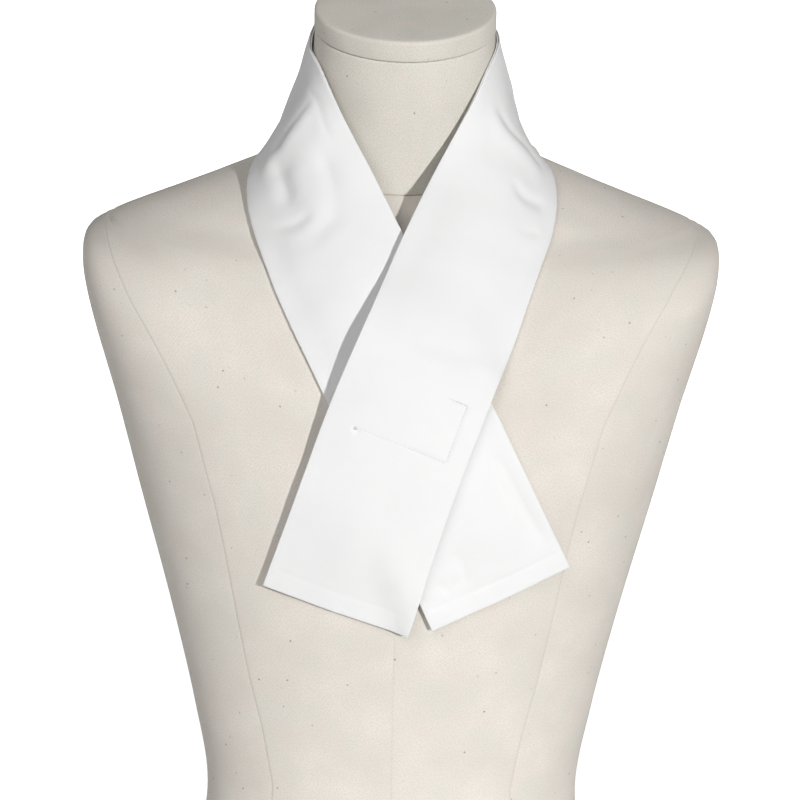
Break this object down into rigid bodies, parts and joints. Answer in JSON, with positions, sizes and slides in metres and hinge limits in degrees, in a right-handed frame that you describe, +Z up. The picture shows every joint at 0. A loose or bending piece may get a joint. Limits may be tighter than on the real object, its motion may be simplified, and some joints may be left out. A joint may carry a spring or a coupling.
{
  "type": "detachable shirt collar on a limbless dress form",
  "caption": "Flat double cotton band worn round the neck of a linen covered dress form, its ends crossed and fastened on the chest.",
  "frame": {"origin": "the middle of the whole object's base, on the flat face that the form stands on", "axes": "+Z up through the neck, -Y is the front, +X is the right side of the picture"},
  "size_m": [0.385, 0.2214, 0.6355],
  "materials": {
    "white_cotton": "plain woven white cotton, pressed, slightly creased",
    "fastening_tape": "white hook and loop tape",
    "linen_cover": "unbleached linen twill, matt, with small dark flecks",
    "linen_cap": "unbleached linen drawn over a board, matt"
  },
  "bodies": {
    "root": {"collar_face": "white_cotton", "collar_facing": "white_cotton", "hook_pad": "fastening_tape", "loop_pad": "fastening_tape", "form_torso": "linen_cover", "form_neck": "linen_cover", "form_neck_cap": "linen_cap"}
  },
  "joints": []
}
